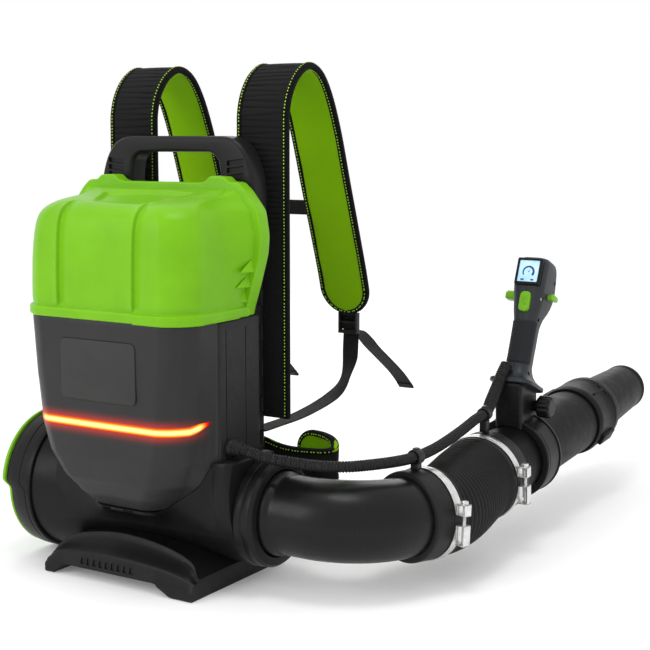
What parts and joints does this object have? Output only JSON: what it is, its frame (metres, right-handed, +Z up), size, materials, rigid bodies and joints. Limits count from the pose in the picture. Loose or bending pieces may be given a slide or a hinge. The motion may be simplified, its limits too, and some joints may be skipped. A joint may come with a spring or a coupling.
{
  "type": "backpack leaf blower",
  "caption": "Battery backpack leaf blower: lidded housing on a fan duct and foot, padded harness, bending hose with clamps, blower tube, nozzle and throttle handle.",
  "frame": {"origin": "on the ground under the middle of the fan, at the foot's flat underside", "axes": "+Z up; +X towards the operator's right, along the fan axis, out of the outlet; +Y forward, towards the operator's back, and the way the blower tube points"},
  "size_m": [0.5867, 0.9582, 0.64],
  "materials": {
    "cover_green": "satin",
    "housing_grey": "matt",
    "fan_black": "satin",
    "tube_black": "satin",
    "rubber_black": "matt",
    "lever_green": "gloss",
    "strap_black": "woven",
    "foam_black": "mesh over foam",
    "webbing_black": "woven",
    "buckle_black": "satin",
    "clamp_steel": "brushed",
    "motor_steel": "machined",
    "copper": "enamelled wire",
    "light_lens": "lit lens",
    "display_glass": "clear window",
    "cable_black": "braided",
    "battery_grey": "matt"
  },
  "bodies": {
    "body": {"fan_housing": "fan_black", "intake_rim": "lever_green", "intake_grille": "fan_black", "outlet_ring": "fan_black", "motor_stator": "copper", "bearing_front": "motor_steel", "bearing_rear": "motor_steel", "motor_can": "fan_black", "rear_housing": "housing_grey", "rear_panel": "housing_grey", "light_strip": "light_lens", "front_housing": "housing_grey", "cable_gland": "rubber_black", "top_cover": "cover_green", "carry_handle": "housing_grey", "back_frame": "fan_black", "back_pad": "foam_black", "base_foot": "fan_black", "battery_left": "battery_grey", "battery_right": "battery_grey", "battery_dock": "fan_black", "motor_controller": "motor_steel", "shoulder_strap_right": "strap_black", "shoulder_strap_left": "strap_black", "strap_adjuster_right": "buckle_black", "strap_adjuster_left": "buckle_black", "strap_webbing_right": "webbing_black", "strap_webbing_left": "webbing_black", "sternum_webbing": "webbing_black", "sternum_buckle": "buckle_black", "waist_belt_right": "strap_black", "waist_belt_left": "strap_black", "control_cable_rear": "cable_black"},
    "fan": {"impeller": "fan_black", "motor_rotor": "motor_steel", "motor_shaft": "motor_steel"},
    "elbow": {"elbow_tube": "tube_black", "hose_cuff_rear": "rubber_black", "clamp_band_rear": "clamp_steel", "clamp_bolt_rear": "clamp_steel", "hose_bellows": "rubber_black", "cable_clip_rear": "buckle_black", "control_cable_middle": "cable_black"},
    "blower_tube": {"hose_cuff_front": "rubber_black", "clamp_band_front": "clamp_steel", "clamp_bolt_front": "clamp_steel", "middle_tube": "tube_black", "cable_clip_front": "buckle_black", "control_cable_front": "cable_black"},
    "nozzle": {"twist_collar": "tube_black", "nozzle": "tube_black"},
    "throttle_handle": {"handle_clamp": "fan_black", "grip_left": "housing_grey", "grip_right": "housing_grey", "display_bezel": "fan_black", "display_lens": "display_glass"},
    "knob": {"clamp_knob": "fan_black"},
    "trigger": {"trigger": "lever_green"},
    "cruise_lever": {"cruise_lever": "lever_green"},
    "thumb_button": {"thumb_button": "lever_green"}
  },
  "joints": [
    {"name": "fan_spin", "type": "hinge", "parent": "body", "child": "fan", "pos_m": [0, 0, 0.093], "axis": [1, 0, 0], "continuous": true},
    {"name": "elbow_swivel", "type": "hinge", "parent": "body", "child": "elbow", "pos_m": [0.146, 0, 0.093], "axis": [1, 0, 0], "range_deg": [-20, 60], "deforming": ["control_cable_rear"]},
    {"name": "hose_flex", "type": "hinge", "parent": "elbow", "child": "blower_tube", "pos_m": [0.30977, 0.19192, 0.09086], "axis": [0, 0, 1], "range_deg": [-20, 20], "deforming": ["hose_bellows", "control_cable_middle"]},
    {"name": "nozzle_twist", "type": "hinge", "parent": "blower_tube", "child": "nozzle", "pos_m": [0.307, 0.61716, 0.121], "axis": [0, 0.9976, 0.0698], "range_deg": [0, 30]},
    {"name": "handle_slide", "type": "slide", "parent": "blower_tube", "child": "throttle_handle", "axis": [0, 0.9976, 0.0698], "range_m": [-0.04, 0.12], "deforming": ["control_cable_front"]},
    {"name": "knob_turn", "type": "hinge", "parent": "throttle_handle", "child": "knob", "pos_m": [0.3273, 0.405, 0.1745], "axis": [1, 0, 0], "range_deg": [0, 360]},
    {"name": "trigger_pull", "type": "hinge", "parent": "throttle_handle", "child": "trigger", "pos_m": [0.307, 0.42912, 0.29164], "axis": [-1, 0, 0], "range_deg": [0, 12], "stiffness_Nm_per_rad": 0.05, "springref_deg": -17.19},
    {"name": "cruise_lever_turn", "type": "hinge", "parent": "throttle_handle", "child": "cruise_lever", "pos_m": [0.307, 0.43806, 0.32366], "axis": [1, 0, 0], "range_deg": [0, 60]},
    {"name": "thumb_button_press", "type": "slide", "parent": "throttle_handle", "child": "thumb_button", "axis": [0, 0.9239, -0.3827], "range_m": [0, 0.0025], "stiffness_N_per_m": 400, "springref_m": -0.002}
  ]
}
